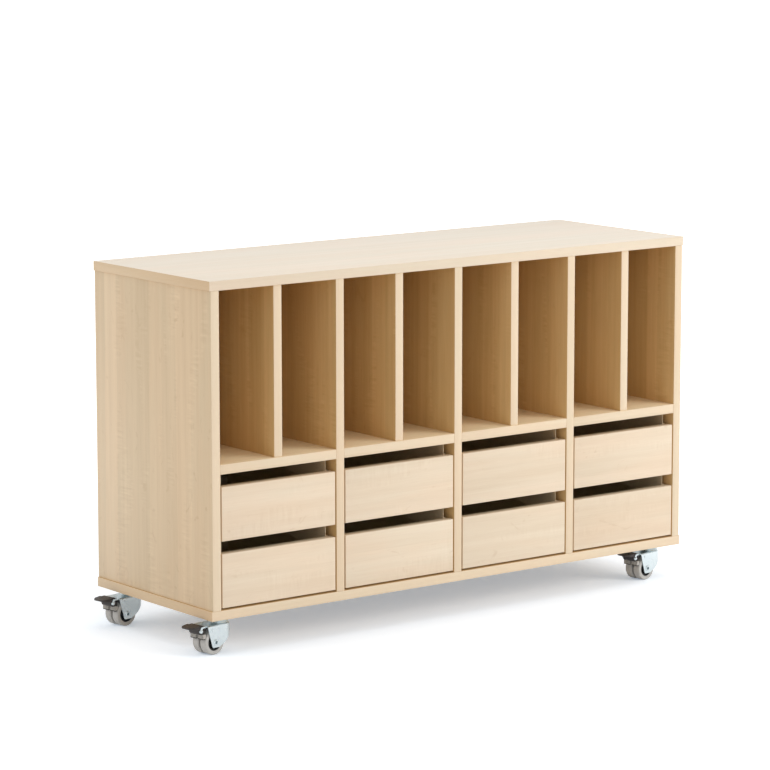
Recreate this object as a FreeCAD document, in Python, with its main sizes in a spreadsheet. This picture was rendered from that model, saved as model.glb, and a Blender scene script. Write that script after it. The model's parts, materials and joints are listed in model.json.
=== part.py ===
import FreeCAD, Part
import Sketcher
import math
import os
import re

# Mobile drawer unit: a laminated carcass with eight drawers below and eight upright
# compartments above, on four swivel casters with twin wheels and brake levers.
# Millimetres, +Z up, -Y to the front. The floor is at zero height, and the middle of
# the whole object's footprint is at the origin.

SIZES = {
    # carcass
    "board_thickness": 19,
    "body_length": 1195,
    "panel_overhang": 2.5,
    "body_depth": 403,
    "back_thickness": 8,
    "drawer_zone_height": 264.5,
    "slot_zone_height": 334,
    "slot_divider_setback": 2.2,
    # dowels
    "dowel_radius": 4,
    "dowel_length": 30,
    "dowel_inset": 48,
    "upright_dowel_depth": 8,
    "panel_dowel_depth": 12,
    "drill_clearance": 0.05,
    "drill_overrun": 1,
    # drawer fronts
    "front_thickness": 19,
    "front_side_gap": 3,
    "front_low_gap": 4.3,
    "finger_gap": 24.5,
    # drawer boxes
    "side_low_gap": 9.5,
    "side_top_gap": 2.6,
    "drawer_rear_gap": 26,
    "sheet_thickness": 1.2,
    "box_wall_inset": 13.8,
    "base_flange": 14,
    "bracket_height": 60,
    "base_thickness": 12,
    "rear_board_thickness": 16,
    "rear_board_share": 0.9,
    # rails on the uprights
    "rail_height": 22,
    "rail_width": 7,
    "rail_setback": 20,
    "rail_nest_gap": 0.8,
    "roller_radius": 8,
    "roller_width": 4.2,
    "roller_clearance": 0.3,
    "roller_side_gap": 1.5,
    "roller_end_gap": 2,
    "roller_pin_radius": 2,
    "roller_pin_clearance": 0.05,
    "rail_screw_front": 28,
    "rail_screw_rear": 60,
    "rail_screw_radius": 2,
    "rail_screw_depth": 7,
    "rail_screw_head_radius": 4,
    "rail_screw_head_height": 1.2,
    # casters
    "caster_inset_x": 44.2,
    "caster_inset_y": 47.1,
    "caster_angle": 9,
    "caster_trail": 27,
    "wheel_radius": 25,
    "wheel_width": 16.5,
    "wheel_gap": 4.6,
    "wheel_headroom": 7,
    "tyre_thickness": 8,
    "tyre_shoulder": 2,
    "hub_inset": 0.8,
    "hub_rim": 2.2,
    "hub_web_depth": 4.5,
    "hub_web_thickness": 3,
    "hub_boss_radius": 7,
    "hub_end_gap": 0.3,
    "axle_radius": 4,
    "axle_clearance": 0.05,
    "axle_flange_radius": 6,
    "axle_flange_height": 1.4,
    "axle_bore_radius": 3.1,
    "axle_bore_depth": 8,
    # caster plate and swivel
    "plate_size": 64,
    "plate_thickness": 2.5,
    "plate_corner": 8,
    "plate_screw_offset": 24,
    "raceway_radius": 22,
    "raceway_height": 3,
    "raceway_draft": 2.5,
    "swivel_gap": 0.3,
    "king_pin_radius": 5,
    "king_pin_clearance": 0.05,
    "king_head_radius": 8,
    "king_head_height": 2.2,
    "caster_screw_radius": 2.2,
    "caster_screw_depth": 14,
    "caster_screw_head_radius": 4.2,
    "caster_screw_head_height": 2.6,
    # fork
    "fork_half_width": 21.5,
    "fork_sheet": 2.2,
    "fork_race_height": 7,
    "fork_bend": 3,
    "fork_race_radius": 20,
    "fork_race_draft": 3,
    "fork_foot_drop": 10.3,
    "fork_foot_half": 9.5,
    "fork_skirt": 9,
    "dimple_radius": 2.6,
    "dimple_height": 0.9,
    "dimple_back": 8.5,
    "dimple_drop": 8.5,
    # brake ears and pivot
    "pivot_ahead": 9,
    "pivot_drop": 8.5,
    "pivot_radius": 2.2,
    "pivot_clearance": 0.05,
    "pivot_head_radius": 3,
    "pivot_head_height": 1.6,
    "ear_radius": 3.7,
    "ear_spacing": 30,
    "ear_root": 4.5,
    "ear_length": 13.3,
    "ear_neck": 1.9,
    "ear_strap": 3,
    "ear_bend": 2.5,
    # brake lever and pads
    "brake_angle": 10,
    "brake_clearance": 0.3,
    "lever_half_width": 18,
    "lever_ear_gap": 0.4,
    "lever_rise": 2.7,
    "lever_hub": 7,
    "lever_heel": 12,
    "block_drop": 7,
    "block_front": 3,
    "block_chamfer": 2.5,
    "pedal_length": 27.3,
    "pedal_root": 3.5,
    "pedal_rise": 8.3,
    "pedal_tip_thickness": 2.6,
    "pedal_corner": 11,
    "pad_drop": 17,
    "pad_back": 3.5,
    "pad_reach": 11.2,
    "pad_side_gap": 2.6,
    "pad_groove": 1.4,
    "pad_groove_depth": 1.3,
    "pad_grooves": 4,
    "cut_overrun": 5,
}

BAYS = 4
DRAWER_ROWS = 2

# Values that follow from the sizes above, each worked out once.
PLACES = {
    "web_low": "2 * wheel_radius + wheel_headroom",
    "fork_top_height": "web_low + fork_sheet",
    "raceway_low": "fork_top_height + fork_race_height + swivel_gap",
    "plate_low": "raceway_low + raceway_height",
    "caster_height": "plate_low + plate_thickness",
    "pivot_front": "caster_trail + wheel_radius + pivot_ahead",
    "pivot_height": "fork_top_height - pivot_drop",
    "fork_front": "pivot_front - ear_length",
    "pedal_tip": "pivot_front + pedal_length",
    "pedal_tip_height": "pivot_height + pedal_rise",
    "lever_top_height": "fork_top_height + lever_rise",
    "block_height": "pivot_height - block_drop",
    "pad_low": "pivot_height - pad_drop",
    "pedal_reach": "(pedal_tip - pedal_corner) * cos(caster_angle * 1 deg)"
                   " + (lever_half_width - pedal_corner) * sin(caster_angle * 1 deg) + pedal_corner",
    "body_left": "(pedal_reach - caster_inset_x - panel_overhang) / 2 - body_length / 2",
    "body_right": "body_left + body_length",
    "body_front": "0 - body_depth / 2",
    "back_face": "body_front + body_depth - back_thickness",
    "inner_depth": "body_depth - back_thickness",
    "floor_top": "caster_height + board_thickness",
    "shelf_low": "floor_top + drawer_zone_height",
    "slot_low": "shelf_low + board_thickness",
    "roof_low": "slot_low + slot_zone_height",
    "upright_height": "roof_low - floor_top",
    "bay_width": f"(body_length - {BAYS + 1} * board_thickness) / {BAYS}",
    "slot_width": "(bay_width - board_thickness) / 2",
    "bay_pitch": "bay_width + board_thickness",
    "drawer_pitch": f"(drawer_zone_height - front_low_gap) / {DRAWER_ROWS}",
    "front_height": "drawer_pitch - finger_gap",
    "side_length": "inner_depth - front_thickness - drawer_rear_gap",
    "side_height": "drawer_pitch - side_low_gap - side_top_gap",
    "rail_low": "side_low_gap + side_height - rail_height",
    "rail_start": "front_thickness + rail_setback",
    "rail_length": "side_length - rail_setback",
    "box_wall": "box_wall_inset - sheet_thickness",
    "nest_edge": "rail_width + rail_nest_gap",
    "front_roller_height": "rail_low + rail_height - sheet_thickness - roller_clearance - roller_radius",
    "rear_roller_height": "rail_low + sheet_thickness + roller_clearance + roller_radius",
    "fork_inner": "fork_half_width - fork_sheet",
    "hub_radius": "wheel_radius - tyre_thickness",
    "wheel_inner": "wheel_gap / 2",
    "wheel_outer": "wheel_gap / 2 + wheel_width",
    "ear_outer": "ear_spacing / 2 + fork_sheet",
    "ear_inner": "ear_spacing / 2",
    "brake_x": "caster_trail * -1 + pivot_front",
    "brake_z": "wheel_radius - pivot_height",
    "tread_x": "brake_x * cos(brake_angle * 1 deg) + brake_z * sin(brake_angle * 1 deg) - pivot_front",
    "tread_z": "brake_z * cos(brake_angle * 1 deg) - brake_x * sin(brake_angle * 1 deg) + pivot_height",
}

document = FreeCAD.newDocument("DrawerUnit")
sheet = document.addObject("Spreadsheet::Sheet", "Sizes")
for row, (alias, number) in enumerate(SIZES.items(), start=1):
    sheet.set(f"A{row}", str(number))
    sheet.setAlias(f"A{row}", alias)
document.recompute()
places = document.addObject("App::VarSet", "Places")


def formula(text):
    """Turns plain size names into references to the sheet and to the worked-out places."""
    def reference(found):
        word = found.group(0)
        if word in SIZES:
            return "Sizes." + word
        if word in PLACES:
            return "Places." + word
        return word
    return re.sub(r"[a-z_][a-z_0-9]*", reference, text)


for name, text in PLACES.items():
    places.addProperty("App::PropertyFloat", name, "Places")
    places.setExpression(name, formula(text))
document.recompute()


def value(text):
    """The number that a formula gives at the present sizes."""
    return float(places.evalExpression(formula(text)))


def bind(thing, path, text):
    thing.setExpression(path, formula(text))


def move(thing, x="0", y="0", z="0"):
    """Ties a thing's place to three formulas and keeps its turn."""
    for axis, text in zip("xyz", (x, y, z)):
        bind(thing, f"Placement.Base.{axis}", text)
    return thing


def turn(thing, axis, degrees):
    thing.Placement = FreeCAD.Placement(FreeCAD.Vector(), FreeCAD.Rotation(axis, degrees))
    return thing


X_AXIS = FreeCAD.Vector(1, 0, 0)
Y_AXIS = FreeCAD.Vector(0, 1, 0)
Z_AXIS = FreeCAD.Vector(0, 0, 1)
QUARTER = 90
HALF = 180


def box(name, length, width, height, x="0", y="0", z="0"):
    piece = document.addObject("Part::Box", name)
    bind(piece, "Length", length)
    bind(piece, "Width", width)
    bind(piece, "Height", height)
    return move(piece, x, y, z)


def aim(piece, direction):
    """Turns an upright round piece to point along x, y or z, or against one of them."""
    turns = {"x": (Y_AXIS, QUARTER), "-x": (Y_AXIS, -QUARTER), "y": (X_AXIS, -QUARTER),
             "-y": (X_AXIS, QUARTER), "z": (Z_AXIS, 0), "-z": (X_AXIS, HALF)}
    return turn(piece, *turns[direction])


def rod(name, radius, height, x="0", y="0", z="0", direction="z"):
    piece = document.addObject("Part::Cylinder", name)
    bind(piece, "Radius", radius)
    bind(piece, "Height", height)
    aim(piece, direction)
    return move(piece, x, y, z)


def cone(name, low_radius, high_radius, height, x="0", y="0", z="0", direction="z"):
    piece = document.addObject("Part::Cone", name)
    bind(piece, "Radius1", low_radius)
    bind(piece, "Radius2", high_radius)
    bind(piece, "Height", height)
    aim(piece, direction)
    return move(piece, x, y, z)


def group(name, pieces):
    """Separate solids kept side by side."""
    bundle = document.addObject("Part::Compound", name)
    bundle.Links = pieces
    return bundle


def join(name, pieces):
    fused = document.addObject("Part::MultiFuse", name)
    fused.Shapes = pieces
    fused.Refine = True
    return fused


def cut(name, base, tools):
    result = document.addObject("Part::Cut", name)
    result.Base = base
    result.Tool = tools[0] if len(tools) == 1 else group(name + "_tools", tools)
    return result


def common(name, first, second):
    result = document.addObject("Part::Common", name)
    result.Base = first
    result.Tool = second
    return result


def plane(body, role):
    return [item for item in body.Origin.OriginFeatures if item.Role == role][0]


def sketch_on(body, role):
    sketch = body.newObject("Sketcher::SketchObject", body.Name + "_sketch")
    sketch.AttachmentSupport = [(plane(body, role), "")]
    sketch.MapMode = "FlatFace"
    return sketch


def hold(sketch, kind, edge, text):
    """Holds the start of an edge at a distance from the sketch's origin."""
    index = sketch.addConstraint(Sketcher.Constraint(kind, -1, 1, edge, 1, value(text)))
    bind(sketch, f"Constraints[{index}]", text)


def draw_outline(sketch, corners):
    """Closed outline of straight edges, whose corners are held by pairs of formulas."""
    points = [FreeCAD.Vector(value(x), value(y), 0) for x, y in corners]
    count = len(points)
    for index, point in enumerate(points):
        sketch.addGeometry(Part.LineSegment(point, points[(index + 1) % count]), False)
    for index in range(count):
        sketch.addConstraint(Sketcher.Constraint("Coincident", index, 2, (index + 1) % count, 1))
    for index, (x, y) in enumerate(corners):
        hold(sketch, "DistanceX", index, x)
        hold(sketch, "DistanceY", index, y)


def profile_body(name, role, corners):
    body = document.addObject("PartDesign::Body", name)
    sketch = sketch_on(body, role)
    draw_outline(sketch, corners)
    return body, sketch


def padded(name, role, corners, length, middle=False, backwards=False):
    """Outline padded square to its plane, to one side or evenly to both."""
    body, sketch = profile_body(name, role, corners)
    pad = body.newObject("PartDesign::Pad", name + "_pad")
    pad.Profile = sketch
    bind(pad, "Length", length)
    pad.Midplane = middle
    pad.Reversed = backwards
    body.Tip = pad
    return body


def revolved(name, corners):
    """Outline of radius and height turned about the Y axis."""
    body, sketch = profile_body(name, "XY_Plane", corners)
    ring = body.newObject("PartDesign::Revolution", name + "_turned")
    ring.Profile = sketch
    ring.ReferenceAxis = (sketch, ["V_Axis"])
    ring.Angle = 4 * QUARTER
    body.Tip = ring
    return body


def rounded_box(name, length, width, height, corner, x="0", y="0", z="0", front_only=False):
    """Box whose upright edges are rounded, or only the two at its low x end."""
    blank = box(name + "_blank", length, width, height)
    document.recompute()
    edges = []
    for index, edge in enumerate(blank.Shape.Edges, start=1):
        ends = [vertex.Point for vertex in edge.Vertexes]
        upright = abs(ends[0].z - ends[1].z) > abs(ends[0].x - ends[1].x) + abs(ends[0].y - ends[1].y)
        if upright and not (front_only and ends[0].x > 0):
            edges.append((index, value(corner), value(corner)))
    piece = document.addObject("Part::Fillet", name)
    piece.Base = blank
    piece.Edges = edges
    return move(piece, x, y, z)


nodes = []


def node(name, piece):
    """Names a finished sub-part."""
    piece.Label = name
    nodes.append(piece)
    return piece


# Holes and pegs that join the carcass are kept in lists, so that boards and pegs share them.
dowels = []
screws = []
holes = []


def peg(x, y, z, direction):
    """A dowel and its hole. The point is the dowel's low end, and it runs along the direction."""
    number = len(dowels)
    length = "dowel_length"
    dowels.append(rod(f"dowel_{number}", "dowel_radius", length, x, y, z, direction))
    start = {"x": (f"{x} - drill_overrun", y, z), "z": (x, y, f"{z} - drill_overrun")}[direction]
    holes.append(rod(f"dowel_hole_{number}", "dowel_radius + drill_clearance",
                     f"{length} + 2 * drill_overrun", *start, direction))


def screw(name, x, y, z, direction, size):
    """Pan-head screw whose head rests on the given point, and its pilot hole."""
    depth = f"{size}_depth"
    head = f"{size}_head_height"
    shank = rod(name + "_shank", f"{size}_radius", depth, x, y, z, direction)
    opposite = {"x": "-x", "-x": "x", "z": "-z"}[direction]
    cap = cone(name + "_cap", f"{size}_head_radius", f"{size}_head_radius - {head} / 2", head,
               x, y, z, opposite)
    bore = rod(name + "_pilot", f"{size}_radius + drill_clearance", f"{depth} + drill_overrun",
               x, y, z, direction)
    return join(name, [shank, cap]), bore


def bay_left(bay):
    return f"body_left + board_thickness + {bay} * bay_pitch"


def upright_left(number):
    return f"body_left + {number} * bay_pitch"


def dowel_rows():
    return ("body_front + dowel_inset", "back_face - dowel_inset")


def place_dowels():
    for number in range(BAYS + 1):
        middle = f"{upright_left(number)} + board_thickness / 2"
        for y in dowel_rows():
            peg(middle, y, "floor_top - panel_dowel_depth", "z")
            peg(middle, y, "roof_low + panel_dowel_depth - dowel_length", "z")
    for bay in range(BAYS):
        left = bay_left(bay)
        for y in dowel_rows():
            level = "shelf_low + board_thickness / 2"
            peg(f"{left} - upright_dowel_depth", y, level, "x")
            peg(f"{left} + bay_width + upright_dowel_depth - dowel_length", y, level, "x")
            middle = f"{left} + slot_width + board_thickness / 2"
            peg(middle, y, "slot_low - panel_dowel_depth", "z")
            peg(middle, y, "roof_low + panel_dowel_depth - dowel_length", "z")
    node("carcass_dowels", group("carcass_dowels", dowels))


def drawer_base(bay, row):
    """Place of a drawer's own origin: the wall of its bay, the front plane, the front's low edge."""
    return bay_left(bay), "body_front", f"floor_top + front_low_gap + {row} * drawer_pitch"


def rail(name, side):
    """Channel rail on an upright, open towards the drawer. Side is 1 on the left wall, -1 on the right."""
    corners = [("0", "0"), ("rail_width", "0"), ("rail_width", "sheet_thickness"),
               ("sheet_thickness", "sheet_thickness"),
               ("sheet_thickness", "rail_height - sheet_thickness"),
               ("rail_width", "rail_height - sheet_thickness"), ("rail_width", "rail_height"),
               ("0", "rail_height")]
    corners = [(f"{side} * ({x})", y) for x, y in corners]
    return padded(name, "XZ_Plane", corners, "rail_length", backwards=True)


def rail_set():
    """Rails with front rollers on pins, and their screws, for both walls of every drawer."""
    rails = []
    rollers = []
    pilots = []
    for bay in range(BAYS):
        for row in range(DRAWER_ROWS):
            for side, wall in ((1, "0"), (-1, "bay_width")):
                x, y, z = drawer_base(bay, row)
                tag = f"{bay}_{row}_{'left' if side > 0 else 'right'}"
                face = f"{x} + {wall}"
                direction = "x" if side > 0 else "-x"
                opposite = "-x" if side > 0 else "x"
                channel = rail(f"rail_{tag}", side)
                move(channel, face, f"{y} + rail_start", f"{z} + rail_low")
                inner = f"{face} + {side} * sheet_thickness"
                pin_y = f"{y} + rail_start + roller_radius + roller_end_gap / 2"
                pin_z = f"{z} + front_roller_height"
                rolling = f"{face} + {side} * nest_edge"
                pin = rod(f"roller_pin_{tag}", "roller_pin_radius",
                          "nest_edge + roller_width - sheet_thickness", inner, pin_y, pin_z, direction)
                disc = rod(f"roller_disc_{tag}", "roller_radius", "roller_width",
                           rolling, pin_y, pin_z, direction)
                bore = rod(f"roller_bore_{tag}", "roller_pin_radius + roller_pin_clearance",
                           "roller_width", rolling, pin_y, pin_z, direction)
                rollers += [pin, cut(f"roller_{tag}", disc, [bore])]
                spots = (f"{pin_y} + rail_screw_front", f"{y} + rail_start + rail_length - rail_screw_rear")
                drills = []
                for number, spot in enumerate(spots):
                    fixing, pilot = screw(f"rail_screw_{tag}_{number}", inner, spot,
                                          f"{z} + rail_low + rail_height / 2", opposite, "rail_screw")
                    screws.append(fixing)
                    pilots.append(pilot)
                    drills.append(pilot)
                rails.append(cut(f"drilled_rail_{tag}", channel, drills))
    holes.extend(pilots)
    node("drawer_rails", group("drawer_rails", rails + rollers))


def caster_places():
    """Swivel axes, numbered front left, front right, rear left, rear right."""
    spots = []
    for y in ("body_front + caster_inset_y", "body_front + body_depth - caster_inset_y"):
        for x in ("body_left + caster_inset_x", "body_right - caster_inset_x"):
            spots.append((x, y))
    return spots


def plate_set():
    """Top plates with their raceways and king pins, and the screws that hold them."""
    plates = []
    for number, (x, y) in enumerate(caster_places()):
        half = "plate_size / 2"
        flat = rounded_box(f"plate_{number}", "plate_size", "plate_size", "plate_thickness",
                           "plate_corner", f"{x} - {half}", f"{y} - {half}", "plate_low")
        race = cone(f"plate_race_{number}", "raceway_radius - raceway_draft", "raceway_radius",
                    "raceway_height", x, y, "raceway_low")
        pin_hole = rod(f"plate_hole_{number}", "king_pin_radius", "plate_thickness + raceway_height",
                       x, y, "raceway_low")
        drills = [pin_hole]
        for sx in (-1, 1):
            for sy in (-1, 1):
                fixing, pilot = screw(f"caster_screw_{number}_{sx + 1}{sy + 1}",
                                      f"{x} + {sx} * plate_screw_offset",
                                      f"{y} + {sy} * plate_screw_offset", "plate_low", "z", "caster_screw")
                screws.append(fixing)
                holes.append(pilot)
                drills.append(pilot)
        plates.append(cut(f"drilled_plate_{number}", join(f"pressed_plate_{number}", [flat, race]), drills))
        head_low = "web_low - swivel_gap - king_head_height"
        shank = rod(f"king_shank_{number}", "king_pin_radius", f"caster_height - ({head_low})",
                    x, y, head_low)
        head = rod(f"king_head_{number}", "king_head_radius", "king_head_height", x, y, head_low)
        plates.append(join(f"king_pin_{number}", [shank, head]))
    node("caster_plates", group("caster_plates", plates))


def board(name, length, width, height, x, y, z):
    """Board cut to size and drilled for the pegs and screws that reach it."""
    blank = box(name + "_blank", length, width, height, x, y, z)
    drilled = cut(name, blank, [drill_set])
    return node(name, drilled)


def carcass():
    panel_length = "body_length + 2 * panel_overhang"
    panel_left = "body_left - panel_overhang"
    thick = "board_thickness"
    board("top_panel", panel_length, "body_depth", thick, panel_left, "body_front", "roof_low")
    board("bottom_panel", panel_length, "body_depth", thick, panel_left, "body_front", "caster_height")
    board("left_side", thick, "body_depth", "upright_height", "body_left", "body_front", "floor_top")
    board("right_side", thick, "body_depth", "upright_height", f"body_right - {thick}", "body_front",
          "floor_top")
    for number in range(1, BAYS):
        board(f"main_divider_{number}", thick, "inner_depth", "upright_height", upright_left(number),
              "body_front", "floor_top")
    for bay in range(BAYS):
        board(f"shelf_{bay + 1}", "bay_width", "inner_depth", thick, bay_left(bay), "body_front",
              "shelf_low")
        board(f"slot_divider_{bay + 1}", thick, "inner_depth - slot_divider_setback",
              "slot_zone_height", f"{bay_left(bay)} + slot_width", "body_front + slot_divider_setback",
              "slot_low")
    node("back_panel", box("back_panel", f"body_length - 2 * {thick}", "back_thickness",
                           "upright_height", f"body_left + {thick}", "back_face", "floor_top"))


def steel_side(name, side):
    """Drawer side rolled from sheet: runner channel outside at the top, base flange inside at the foot."""
    top = "side_height"
    low = "side_height - rail_height"
    corners = [("nest_edge", top), ("nest_edge", f"{top} - sheet_thickness"),
               ("box_wall", f"{top} - sheet_thickness"), ("box_wall", f"{low} + sheet_thickness"),
               ("nest_edge", f"{low} + sheet_thickness"), ("nest_edge", low), ("box_wall", low),
               ("box_wall", "0"), ("box_wall_inset + base_flange", "0"),
               ("box_wall_inset + base_flange", "sheet_thickness"),
               ("box_wall_inset", "sheet_thickness"), ("box_wall_inset", top)]
    corners = [(f"{side} * ({x})", y) for x, y in corners]
    wall = padded(name + "_wall", "XZ_Plane", corners, "side_length", backwards=True)
    start = "box_wall_inset" if side > 0 else "0 - box_wall_inset - base_flange"
    bracket = box(name + "_bracket", "base_flange", "sheet_thickness", "bracket_height", start)
    return join(name, [wall, bracket])


def drawer(number, bay, row):
    """One drawer: wooden front, two steel sides with rear rollers, and a base board with a rear board."""
    x, y, z = drawer_base(bay, row)
    front = box(f"front_{number}", "bay_width - 2 * front_side_gap", "front_thickness",
                "front_height", f"{x} + front_side_gap", y, z)
    node(f"drawer_front_{number}", front)
    steel = []
    for side, wall, word in ((1, "0", "left"), (-1, "bay_width", "right")):
        tag = f"{number}_{word}"
        direction = "x" if side > 0 else "-x"
        steel.append(move(steel_side(f"side_{tag}", side), wall, "front_thickness", "side_low_gap"))
        pin_y = "front_thickness + side_length - roller_radius - roller_end_gap"
        start = f"{wall} + {side} * (sheet_thickness + roller_side_gap)"
        pin = rod(f"rear_pin_{tag}", "roller_pin_radius",
                  "box_wall - sheet_thickness - roller_side_gap", start, pin_y,
                  "rear_roller_height", direction)
        disc = rod(f"rear_disc_{tag}", "roller_radius", "roller_width", start, pin_y,
                   "rear_roller_height", direction)
        bore = rod(f"rear_bore_{tag}", "roller_pin_radius + roller_pin_clearance", "roller_width",
                   start, pin_y, "rear_roller_height", direction)
        steel += [pin, cut(f"rear_roller_{tag}", disc, [bore])]
    node(f"drawer_sides_{number}", move(group(f"drawer_sides_{number}", steel), x, y, z))
    inner_width = "bay_width - 2 * box_wall_inset"
    seat = "side_low_gap + sheet_thickness"
    bracket_gap = "front_thickness + sheet_thickness"
    base = box(f"base_{number}", inner_width, "side_length - sheet_thickness", "base_thickness",
               "box_wall_inset", bracket_gap, seat)
    rear = box(f"rear_board_{number}", inner_width, "rear_board_thickness",
               "side_height * rear_board_share - sheet_thickness - base_thickness",
               "box_wall_inset", "front_thickness + side_length - rear_board_thickness",
               f"{seat} + base_thickness")
    node(f"drawer_base_{number}", move(group(f"drawer_base_{number}", [base, rear]), x, y, z))


def tyre(name):
    """Grey tread ring with chamfered shoulders and a low crown."""
    shoulder = "wheel_radius - tyre_shoulder"
    corners = [("hub_radius", "wheel_inner"), (shoulder, "wheel_inner"),
               ("wheel_radius", "wheel_inner + tyre_shoulder"),
               ("wheel_radius", "wheel_outer - tyre_shoulder"), (shoulder, "wheel_outer"),
               ("hub_radius", "wheel_outer")]
    return revolved(name, corners)


def hub(name):
    """Black hub: boss on the axle, dished web and rim."""
    bore = "axle_radius + axle_clearance"
    rim = "hub_radius - hub_rim"
    web_high = "wheel_outer - hub_inset - hub_web_depth"
    web_low = f"{web_high} - hub_web_thickness"
    corners = [(bore, "hub_end_gap"), ("hub_boss_radius", "hub_end_gap"), ("hub_boss_radius", web_low),
               (rim, web_low), (rim, "wheel_inner + hub_inset"), ("hub_radius", "wheel_inner + hub_inset"),
               ("hub_radius", "wheel_outer - hub_inset"), (rim, "wheel_outer - hub_inset"),
               (rim, web_high), ("hub_boss_radius", web_high),
               ("hub_boss_radius", "fork_inner - hub_end_gap"), (bore, "fork_inner - hub_end_gap")]
    return revolved(name, corners)


def wheel(name, turned):
    """Hub and tyre on the axle line. The near wheel is the far one turned about."""
    parts = []
    for piece in (hub(name + "_hub"), tyre(name + "_tyre")):
        turn(piece, Z_AXIS, turned)
        parts.append(move(piece, "0 - caster_trail", "0", "wheel_radius"))
    return group(name, parts)


def fork_shell(name):
    """Pressed shell: rounded at the swivel, open below and in front, with a bent rim."""
    body = document.addObject("PartDesign::Body", name)
    outlines = (("fork_half_width", "fork_front", "fork_top_height"),
                ("fork_inner", "fork_front + cut_overrun", "web_low"))
    for half, front, height in outlines:
        sketch = sketch_on(body, "XY_Plane")
        reach = value(half)
        nose = -value(front)
        corners = [FreeCAD.Vector(nose, -reach, 0), FreeCAD.Vector(0, -reach, 0),
                   FreeCAD.Vector(0, reach, 0), FreeCAD.Vector(nose, reach, 0)]
        sketch.addGeometry(Part.LineSegment(corners[0], corners[1]), False)
        circle = Part.Circle(FreeCAD.Vector(), Z_AXIS, reach)
        sketch.addGeometry(Part.ArcOfCircle(circle, -math.pi / 2, math.pi / 2), False)
        sketch.addGeometry(Part.LineSegment(corners[2], corners[3]), False)
        sketch.addGeometry(Part.LineSegment(corners[3], corners[0]), False)
        for first, second in ((0, 1), (2, 3), (3, 0)):
            sketch.addConstraint(Sketcher.Constraint("Coincident", first, 2, second, 1))
        sketch.addConstraint(Sketcher.Constraint("Coincident", 1, 2, 2, 1))
        sketch.addConstraint(Sketcher.Constraint("Coincident", 1, 3, -1, 1))
        sketch.addConstraint(Sketcher.Constraint("Horizontal", 0))
        sketch.addConstraint(Sketcher.Constraint("Horizontal", 2))
        sketch.addConstraint(Sketcher.Constraint("Vertical", 1, 1, 1, 2))
        hold(sketch, "DistanceX", 1, "0")
        hold(sketch, "DistanceX", 3, f"0 - ({front})")
        radius = sketch.addConstraint(Sketcher.Constraint("Radius", 1, reach))
        bind(sketch, f"Constraints[{radius}]", half)
        kind = "PartDesign::Pad" if half == "fork_half_width" else "PartDesign::Pocket"
        feature = body.newObject(kind, name + "_" + kind[-3:])
        feature.Profile = sketch
        bind(feature, "Length", height)
        feature.Reversed = kind == "PartDesign::Pocket"
        body.Tip = feature
        if half == "fork_half_width":
            document.recompute()
            rim = body.newObject("PartDesign::Fillet", name + "_bend")
            top = value("fork_top_height")
            edges = []
            for index, edge in enumerate(feature.Shape.Edges, start=1):
                level = all(abs(vertex.Z - top) < value("sheet_thickness") for vertex in edge.Vertexes)
                front_edge = all(abs(vertex.X - nose) < value("sheet_thickness") for vertex in edge.Vertexes)
                if level and not front_edge:
                    edges.append(f"Edge{index}")
            rim.Base = (feature, edges)
            bind(rim, "Radius", "fork_bend")
            body.Tip = rim
    return body


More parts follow.
